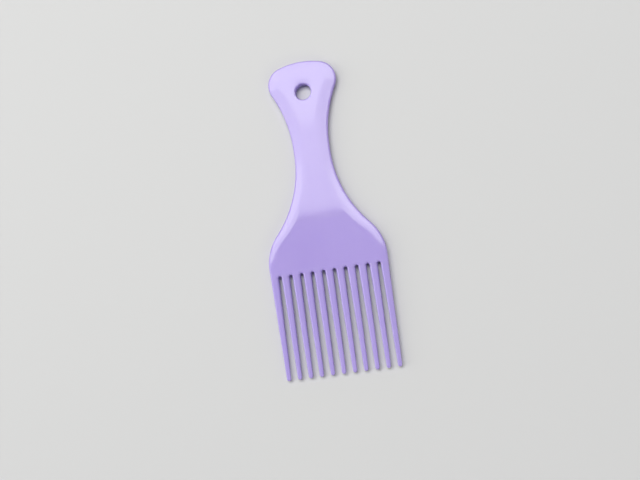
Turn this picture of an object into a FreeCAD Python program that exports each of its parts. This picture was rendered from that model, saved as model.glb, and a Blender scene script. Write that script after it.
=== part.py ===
import FreeCAD, Part
import math
import os

from FreeCAD import Matrix, Vector

# An afro pick moulded in one piece, divided where its form changes into the handle's end with its hole,
# the waisted grip, the head and the tines.
# It lies on its back: +X across the tines, +Y towards the handle's end, +Z out of the front face.
# Places along the pick are measured from the handle's end. All lengths are in millimetres.

# Handle, seen from the front
handle_length = 84.0
end_length = 28.0
handle_end_radius = 39.2
corner_radius = 9.7
flare_width = 36.9
waist_width = 19.5
waist_place = 46.8
waist_length = 3.2

# Head, seen from the front
head_length = 29.0
head_width = 63.2
head_side_length = 4.2
side_lean_degrees = 2.0
shoulder_radius = 26.2

# Section of the handle and the head, the same on the front and the back
body_thickness = 4.6
bevel_width = 5.4
head_bevel_width = 3.0
bevel_depth = 0.9
crest_radius = 20.0
rim_radius = 1.0

# Hanging hole, and the shallow dish round it
hole_place = 16.6
hole_radius = 4.2
hole_lip_radius = 0.8
dish_radius = 10.4
dish_round_radius = 110.0
dish_rim_rise = 0.02

# Tines, and the slots between them
tine_count = 11
tine_length = 54.0
slot_width = 1.75
slot_lip_radius = 1.2
tip_width = 2.2
tip_thickness = 2.0
tip_round = 1.4
tip_section_degrees = (0.0, 30.0, 58.0, 80.0)

# Rounded lips run out onto the faces at this slope, and cuts pass the surface by this much
lip_run_out_degrees = 8.0
cut_overrun = 5.0

# Places and sizes worked out from those above
root_place = handle_length + head_length
handle_end_y = (root_place + tine_length) / 2
grip_start_y = handle_end_y - end_length
head_start_y = handle_end_y - handle_length
root_y = handle_end_y - root_place
blank_y = root_y - cut_overrun
tip_y = root_y - tine_length
hole_y = handle_end_y - hole_place
middle_height = body_thickness / 2
side_lean = math.radians(side_lean_degrees)
lip_run_out = math.radians(lip_run_out_degrees)
shoulder_place = root_place - head_side_length - shoulder_radius * math.sin(side_lean)
side_drawn_in = shoulder_radius * (1 - math.cos(side_lean)) + head_side_length * math.tan(side_lean)
tine_pitch = (head_width - 2 * side_drawn_in + slot_width) / tine_count

origin = Vector(0, 0, 0)
across = Vector(1, 0, 0)
along = Vector(0, 1, 0)
outward = Vector(0, 0, 1)


def same(first, second):
    """Whether two lengths are the same, but for rounding."""
    return abs(first - second) < FreeCAD.Base.Precision.approximation()


def arc(centre, radius, first, last):
    """The arc about a centre from one direction to another, by the shorter way."""
    middle = (first + last).normalize()
    return Part.Arc(centre + first * radius, centre + middle * radius, centre + last * radius)


def closed_wire(edges):
    """One closed wire from edges in any order."""
    return Part.Wire(Part.__sortEdges__(edges))


def flank_radius(circle_x, circle_radius, run):
    """The radius of the hollow flank that leaves the waist straight and rolls onto a round corner."""
    step = waist_width / 2 - circle_x
    return (step**2 + run**2 - circle_radius**2) / (2 * (circle_radius - step))


def outline(inset, height, head_spread=0):
    """The pick's outline to just past the tine roots, drawn in by an inset, as tangent arcs and lines.

    The head may first be spread on all sides, and the flanks then run out to it from the same waist.
    """
    waist_end = waist_place + waist_length
    corner_x = flare_width / 2 - corner_radius
    corner_place = handle_end_radius - math.sqrt((handle_end_radius - corner_radius) ** 2 - corner_x**2)
    shoulder_x = head_width / 2 - shoulder_radius
    spread_radius = shoulder_radius + head_spread
    upper_radius = flank_radius(corner_x, corner_radius, waist_place - corner_place)
    lower_radius = flank_radius(shoulder_x, spread_radius, shoulder_place - waist_end)

    def at(x, place):
        return Vector(x, handle_end_y - place, height)

    dome = at(0, handle_end_radius)
    corner = at(corner_x, corner_place)
    upper = at(waist_width / 2 + upper_radius, waist_place)
    lower = at(waist_width / 2 + lower_radius, waist_end)
    shoulder = at(shoulder_x, shoulder_place)

    to_corner = (corner - dome).normalize()
    to_upper = (upper - corner).normalize()
    to_lower = (lower - shoulder).normalize()
    to_side = across * math.cos(side_lean) - along * math.sin(side_lean)
    waist_top = upper - across * (upper_radius + inset)
    waist_foot = lower - across * (lower_radius + inset)
    side_top = shoulder + to_side * (spread_radius - inset)
    side_foot = Vector(side_top.x - (side_top.y - blank_y) * math.tan(side_lean), blank_y, height)
    far_foot = Vector(-side_foot.x, blank_y, height)

    curves = [
        arc(dome, handle_end_radius - inset, along, to_corner),
        arc(corner, corner_radius - inset, to_corner, to_upper),
        arc(upper, upper_radius + inset, -to_upper, -across),
        Part.LineSegment(waist_top, waist_foot),
        arc(lower, lower_radius + inset, -across, -to_lower),
        arc(shoulder, spread_radius - inset, to_lower, to_side),
        Part.LineSegment(side_top, side_foot),
    ]
    right = [curve.toShape() for curve in curves]
    left = [edge.mirror(origin, across) for edge in right]
    foot = Part.LineSegment(side_foot, far_foot).toShape()
    return closed_wire(right + left + [foot])


def crest_edges(solid):
    """The edges round the two flat faces, but for those across the blank's lower end."""
    found = []
    for edge in solid.Edges:
        box = edge.BoundBox
        on_face = same(box.ZMax, 0) or same(box.ZMin, body_thickness)
        if on_face and not same(box.YMax, blank_y):
            found.append(edge)
    return found


def rim_edges(solid):
    """The edges between the bevels and the upright wall."""
    found = []
    for edge in solid.Edges:
        box = edge.BoundBox
        on_face = same(box.ZMin, 0) or same(box.ZMax, body_thickness)
        upright = box.ZMin < middle_height < box.ZMax
        if not on_face and not upright:
            found.append(edge)
    return found


def blank():
    """The moulding without tines: a plate with soft bevels, narrower along the head, and rounded rims."""
    head_spread = bevel_width - head_bevel_width
    foot_depth = bevel_depth * (bevel_width + cut_overrun) / bevel_width
    heights = (0, foot_depth, body_thickness - foot_depth, body_thickness)
    insets = (bevel_width, -cut_overrun, -cut_overrun, bevel_width)
    wires = [outline(inset, height, head_spread) for inset, height in zip(insets, heights)]
    layers = [Part.makeLoft([low, high], True, True) for low, high in zip(wires, wires[1:])]
    bevelled = layers[0].multiFuse(layers[1:]).removeSplitter()
    plate = Part.Face(outline(0, 0)).extrude(outward * body_thickness)
    solid = plate.common(bevelled)
    solid = solid.makeFillet(rim_radius, rim_edges(solid))
    return solid.makeFillet(crest_radius, crest_edges(solid))


def stretch(first_y, last_y):
    """A block as wide and deep as the pick, and more, between two places along it."""
    width = head_width + 2 * cut_overrun
    depth = body_thickness + 2 * cut_overrun
    corner = Vector(-width / 2, first_y, -cut_overrun)
    return Part.makeBox(width, last_y - first_y, depth, corner)


def through_cutter(edges, x, y):
    """A round cutter through the moulding, turned from the outline of its upper half."""
    upper = Part.Face(closed_wire(edges)).revolve(origin, outward)
    cutter = upper.fuse(upper.mirror(origin, outward)).removeSplitter()
    cutter.translate(Vector(x, y, middle_height))
    return cutter


def hanging_hole():
    """A cutter for the hanging hole: the bore, the lip and the shallow dish that runs out onto the face."""
    rim = Vector(dish_radius, 0, middle_height + dish_rim_rise)
    corner = Vector(dish_radius, 0, middle_height + cut_overrun)
    top = Vector(0, 0, corner.z)
    wall_foot = Vector(hole_radius, 0, 0)
    dish_centre = rim - outward * dish_round_radius
    centre_distance = dish_round_radius - hole_lip_radius
    slope = math.asin((dish_radius - hole_radius - hole_lip_radius) / centre_distance)
    lip_end = outward * math.cos(slope) - across * math.sin(slope)
    lip_centre = dish_centre + lip_end * centre_distance
    wall_top = lip_centre - across * hole_lip_radius
    lip = arc(lip_centre, hole_lip_radius, -across, lip_end).toShape()
    dish = arc(dish_centre, dish_round_radius, lip_end, outward).toShape()
    straight = Part.makePolygon([rim, corner, top, origin, wall_foot, wall_top])
    return through_cutter(straight.Edges + [lip, dish], 0, hole_y)


def slot_end(x):
    """A cutter for the round end of one slot between the tines, with a rounded lip at both faces."""
    radius = slot_width / 2
    lip_centre = Vector(radius + slot_lip_radius, 0, middle_height - slot_lip_radius)
    lip_end = outward * math.cos(lip_run_out) - across * math.sin(lip_run_out)
    run_out = across * math.cos(lip_run_out) + outward * math.sin(lip_run_out)
    lip_edge = lip_centre + lip_end * slot_lip_radius
    mouth = lip_edge + run_out * cut_overrun
    corner = Vector(mouth.x, 0, middle_height + cut_overrun)
    top = Vector(0, 0, corner.z)
    wall_foot = Vector(radius, 0, 0)
    wall_top = Vector(radius, 0, lip_centre.z)
    lip = arc(lip_centre, slot_lip_radius, -across, lip_end).toShape()
    straight = Part.makePolygon([lip_edge, mouth, corner, top, origin, wall_foot, wall_top])
    return through_cutter(straight.Edges + [lip], x, root_y)


def slot_ends():
    """Cutters for the round ends of all the slots."""
    return [slot_end((number - tine_count / 2) * tine_pitch) for number in range(1, tine_count)]


def root_faces(head):
    """The head's faces that the tines grow from, from left to right."""
    faces = [face for face in head.Faces if same(face.BoundBox.YMax, root_y)]
    return sorted(faces, key=lambda face: face.CenterOfMass.x)


def shrunk(wire, width_share, thickness_share, y):
    """A tine's root outline made narrower and thinner about its middle, at another place along the tine."""
    x = wire.BoundBox.Center.x
    matrix = Matrix()
    matrix.move(Vector(-x, -root_y, -middle_height))
    matrix.scale(Vector(width_share, 1, thickness_share))
    matrix.move(Vector(x, y, middle_height))
    return wire.transformGeometry(matrix)


def tine(root_face):
    """One tine: a straight taper from its root face, closed by a rounded tip."""
    root = root_face.OuterWire
    width_share = tip_width / root.BoundBox.XLength
    thickness_share = tip_thickness / body_thickness
    last_sine = math.sin(math.radians(tip_section_degrees[-1]))
    sections = []
    for degrees in tip_section_degrees:
        angle = math.radians(degrees)
        share = math.cos(angle)
        y = tip_y + tip_round * (1 - math.sin(angle) / last_sine)
        sections.append(shrunk(root, width_share * share, thickness_share * share, y))
    shaft = Part.makeLoft([root, sections[0]], True, True)
    tip = Part.makeLoft(sections, True, False)
    return shaft.fuse(tip).removeSplitter()


def save(name, shape):
    """Writes one node, and prints what it holds."""
    solid = shape.Solids[0]
    print(name, len(shape.Solids), "solid", solid.isValid(), round(solid.Volume, 1), "mm3")
    solid.exportStep(os.path.join("parts", name + ".step"))


os.makedirs("parts", exist_ok=True)
moulding = blank().cut([hanging_hole()] + slot_ends())
head = moulding.common(stretch(root_y, head_start_y))
save("handle_end", moulding.common(stretch(grip_start_y, handle_end_y + cut_overrun)))
save("grip", moulding.common(stretch(head_start_y, grip_start_y)))
save("head", head)
for number, root_face in enumerate(root_faces(head), 1):
    save(f"tine_{number:02d}", tine(root_face))
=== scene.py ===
import math

import bpy
from mathutils import Matrix, Vector


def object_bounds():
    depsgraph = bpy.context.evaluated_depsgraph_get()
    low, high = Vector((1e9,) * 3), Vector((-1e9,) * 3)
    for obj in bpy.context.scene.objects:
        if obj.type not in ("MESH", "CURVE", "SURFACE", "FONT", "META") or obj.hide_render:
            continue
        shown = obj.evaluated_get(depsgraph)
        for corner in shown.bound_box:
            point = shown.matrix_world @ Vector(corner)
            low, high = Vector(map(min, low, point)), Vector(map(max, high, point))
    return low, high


# The looks of an afro pick that lies on its back, seen almost squarely from above.
# Lengths are in metres: +X across the tines, +Y towards the handle's end, +Z out of the front face.
# Places along the pick are measured from the handle's end.

mm = 0.001

# The camera: the photograph's width and height, and how its lens sees the pick
image_width = 640
image_height = 480
focal_pixels = 850.0
sensor_mm = 36.0
camera_turns = {"Y": -9.0, "X": -5.0, "Z": 8.26}

# A point on the middle line of the front, where it lies in the photograph, and the scale there
reference_place = 50.0 * mm
reference_pixel = (311.6, 152.9)
reference_pixels_per_metre = 1893.5

# The floor, and the soft light from all round, which fades from the horizon to a height where it is weakest
floor_size = 4.0
floor_drop = 0.02 * mm
floor_colour = (0.61, 0.60, 0.66, 1.0)
floor_roughness = 0.7
world_colour = (1.0, 0.99, 0.96, 1.0)
horizon_strength = 0.8
zenith_strength = 0.05
zenith_start = 0.5

# Plain soft lights: the middle, the size across and along, the radiance, and the direction that each faces.
# The two panels overhead lie edge to edge and are mirrored in the handle's flat front: the far one in its
# end, the near one in the waist and the neck. The near one's mirror image ends where the head's plate begins.
light_colour = (0.98, 1.0, 0.90)
lights = {
    "near_panel": ((-0.52, 0.555, 3.0), (2.95, 0.37), 4.8, (0, 0, -1)),
    "far_panel": ((-0.52, 1.520, 3.0), (2.95, 1.56), 6.8, (0, 0, -1)),
    "left_light": ((-2.20, 0.15, 1.50), (1.2, 2.2), 3.1, (1, -0.05, -0.68)),
    "right_light": ((1.10, 0.0, 0.60), (0.7, 0.5), 0.8, (-1, 0, -0.4)),
    "tine_light": ((0.60, -1.20, 0.90), (0.7, 0.7), 2.4, (-0.5, 1, -0.75)),
}

# Lavender plastic: two tones that flowed into the mould, how light passes through it, and its gloss
pale_lavender = (0.435, 0.345, 0.78, 1.0)
deep_lavender = (0.395, 0.307, 0.75, 1.0)
clean_roughness = 0.06
smudged_roughness = 0.10
scratched_roughness = 0.16
refractive_index = 1.49
subsurface_share = 0.2
subsurface_radius = (1.0, 0.8, 1.0)
subsurface_depth = 1.5 * mm

# Patterns on the plastic: waves per metre along X, Y and Z, and the detail
flow_marks = ((90.0, 22.0, 90.0), 4.0)
smudges = ((55.0, 40.0, 55.0), 5.0)
scratches = ((2600.0, 70.0, 2600.0), 2.0)
waviness = ((30.0, 22.0, 30.0), 1.0)
grain = ((900.0, 900.0, 900.0), 2.0)

# Where the smudges and the scratches begin in their patterns, and where they are at their strongest
smudge_levels = (0.45, 0.75)
scratch_levels = (0.70, 0.80)

# The fine forms of the surface
waviness_depth = 0.012 * mm
grain_depth = 0.0006 * mm
parting_line_height = 0.05 * mm
parting_line_width = 0.22 * mm

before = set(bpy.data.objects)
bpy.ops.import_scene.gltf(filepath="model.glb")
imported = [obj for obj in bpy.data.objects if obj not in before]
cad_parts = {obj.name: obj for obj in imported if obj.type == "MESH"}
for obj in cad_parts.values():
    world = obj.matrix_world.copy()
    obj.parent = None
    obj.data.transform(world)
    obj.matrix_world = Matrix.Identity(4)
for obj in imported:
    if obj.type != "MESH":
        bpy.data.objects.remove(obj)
cad_low, cad_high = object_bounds()
scene = bpy.context.scene
front_z = cad_high.z
handle_end_y = cad_high.y


def new_material(name):
    """An empty node material, with its tree."""
    material = bpy.data.materials.new(name)
    material.use_nodes = True
    tree = material.node_tree
    tree.nodes.clear()
    return material, tree


def node(tree, kind, inputs=None, **properties):
    """A new shader node, with values for some of its inputs and properties."""
    made = tree.nodes.new(kind)
    for name, value in properties.items():
        setattr(made, name, value)
    for name, value in (inputs or {}).items():
        made.inputs[name].default_value = value
    return made


def noise(tree, coordinates, scale, detail):
    """A noise value with its own scale along each axis, in waves per metre."""
    stretched = node(tree, "ShaderNodeMapping", {"Scale": scale})
    texture = node(tree, "ShaderNodeTexNoise", {"Scale": 1.0, "Detail": detail})
    tree.links.new(coordinates, stretched.inputs["Vector"])
    tree.links.new(stretched.outputs["Vector"], texture.inputs["Vector"])
    return texture.outputs["Fac"]


def between(tree, value, low, high):
    """How far a value has risen from low to high, from 0 to 1."""
    ends = {"From Min": low, "From Max": high}
    rise = node(tree, "ShaderNodeMapRange", ends, interpolation_type="SMOOTHSTEP")
    tree.links.new(value, rise.inputs["Value"])
    return rise.outputs["Result"]


def blend(tree, share, first, last):
    """A number between two others by a share, where the first may be a socket."""
    mix = node(tree, "ShaderNodeMix", {"B": last}, data_type="FLOAT")
    tree.links.new(share, mix.inputs["Factor"])
    if isinstance(first, float):
        mix.inputs["A"].default_value = first
    else:
        tree.links.new(first, mix.inputs["A"])
    return mix.outputs["Result"]


def bump(tree, height, depth, normal=None):
    """A normal that follows a height from 0 to 1, on top of another one."""
    made = node(tree, "ShaderNodeBump", {"Strength": 1.0, "Distance": depth})
    tree.links.new(height, made.inputs["Height"])
    if normal:
        tree.links.new(normal, made.inputs["Normal"])
    return made.outputs["Normal"]


def plastic():
    """Smooth glossy lavender plastic, with flow marks, finger smudges, fine scratches and a parting line."""
    material, tree = new_material("lavender_plastic")
    link = tree.links.new
    place = node(tree, "ShaderNodeTexCoord").outputs["Object"]
    tint = node(tree, "ShaderNodeMix", data_type="RGBA")
    tint.inputs["A"].default_value = deep_lavender
    tint.inputs["B"].default_value = pale_lavender
    link(noise(tree, place, *flow_marks), tint.inputs["Factor"])

    smudged = between(tree, noise(tree, place, *smudges), *smudge_levels)
    scratched = between(tree, noise(tree, place, *scratches), *scratch_levels)
    roughness = blend(tree, smudged, clean_roughness, smudged_roughness)
    roughness = blend(tree, scratched, roughness, scratched_roughness)

    parts = node(tree, "ShaderNodeSeparateXYZ")
    link(place, parts.inputs["Vector"])
    from_middle = node(tree, "ShaderNodeMath", operation="SUBTRACT")
    from_middle.inputs[1].default_value = (cad_low.z + cad_high.z) / 2
    link(parts.outputs["Z"], from_middle.inputs[0])
    distance = node(tree, "ShaderNodeMath", operation="ABSOLUTE")
    link(from_middle.outputs["Value"], distance.inputs[0])
    ridge = between(tree, distance.outputs["Value"], parting_line_width / 2, 0.0)

    normal = bump(tree, noise(tree, place, *waviness), waviness_depth)
    normal = bump(tree, noise(tree, place, *grain), grain_depth, normal)
    normal = bump(tree, ridge, parting_line_height, normal)

    look = {
        "IOR": refractive_index,
        "Subsurface Weight": subsurface_share,
        "Subsurface Radius": subsurface_radius,
        "Subsurface Scale": subsurface_depth,
    }
    shader = node(tree, "ShaderNodeBsdfPrincipled", look)
    output = node(tree, "ShaderNodeOutputMaterial")
    link(tint.outputs["Result"], shader.inputs["Base Color"])
    link(roughness, shader.inputs["Roughness"])
    link(normal, shader.inputs["Normal"])
    link(shader.outputs["BSDF"], output.inputs["Surface"])
    return material


def dress_nodes(material):
    """Gives every CAD node the material."""
    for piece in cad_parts.values():
        piece.data.materials.clear()
        piece.data.materials.append(material)


def add_floor():
    """A plain pale floor just under the pick."""
    material, tree = new_material("floor")
    look = {"Base Color": floor_colour, "Roughness": floor_roughness}
    shader = node(tree, "ShaderNodeBsdfPrincipled", look)
    output = node(tree, "ShaderNodeOutputMaterial")
    tree.links.new(shader.outputs["BSDF"], output.inputs["Surface"])
    bpy.ops.mesh.primitive_plane_add(size=floor_size, location=(0, 0, cad_low.z - floor_drop))
    floor = bpy.context.object
    floor.name = "floor"
    floor.data.materials.append(material)


def add_world():
    """Soft light from all round, brighter towards the horizon, which lights the rounded rims."""
    world = bpy.data.worlds.new("studio")
    world.use_nodes = True
    tree = world.node_tree
    background = tree.nodes["Background"]
    background.inputs["Color"].default_value = world_colour
    parts = node(tree, "ShaderNodeSeparateXYZ")
    levels = {"From Max": zenith_start, "To Min": horizon_strength, "To Max": zenith_strength}
    fall = node(tree, "ShaderNodeMapRange", levels, interpolation_type="SMOOTHSTEP")
    tree.links.new(node(tree, "ShaderNodeTexCoord").outputs["Generated"], parts.inputs["Vector"])
    tree.links.new(parts.outputs["Z"], fall.inputs["Value"])
    tree.links.new(fall.outputs["Result"], background.inputs["Strength"])
    scene.world = world


def add_camera():
    """The camera, with the photograph's frame and view."""
    data = bpy.data.cameras.new("camera")
    data.sensor_width = sensor_mm
    data.lens = focal_pixels * sensor_mm / image_width
    turn = Matrix.Identity(3)
    for axis, degrees in camera_turns.items():
        turn = Matrix.Rotation(math.radians(degrees), 3, axis) @ turn
    distance = focal_pixels / reference_pixels_per_metre
    seen_right = (reference_pixel[0] - image_width / 2) / focal_pixels * distance
    seen_up = (image_height / 2 - reference_pixel[1]) / focal_pixels * distance
    seen = Vector((seen_right, seen_up, -distance))
    back = turn.transposed()
    reference = Vector((0, handle_end_y - reference_place, front_z))
    camera = bpy.data.objects.new("camera", data)
    camera.matrix_world = Matrix.Translation(reference - back @ seen) @ back.to_4x4()
    scene.collection.objects.link(camera)
    scene.camera = camera


def add_light(name, middle, size, radiance, facing):
    """A rectangular soft light, equally bright all over."""
    data = bpy.data.lights.new(name, "AREA")
    data.shape = "RECTANGLE"
    data.size = size[0]
    data.size_y = size[1]
    data.energy = radiance * math.pi * size[0] * size[1]
    data.color = light_colour
    light = bpy.data.objects.new(name, data)
    light.location = middle
    light.rotation_euler = Vector(facing).to_track_quat("-Z", "Y").to_euler()
    scene.collection.objects.link(light)


scene.view_settings.view_transform = "Standard"
dress_nodes(plastic())
add_floor()
add_world()
add_camera()
for name, settings in lights.items():
    add_light(name, *settings)
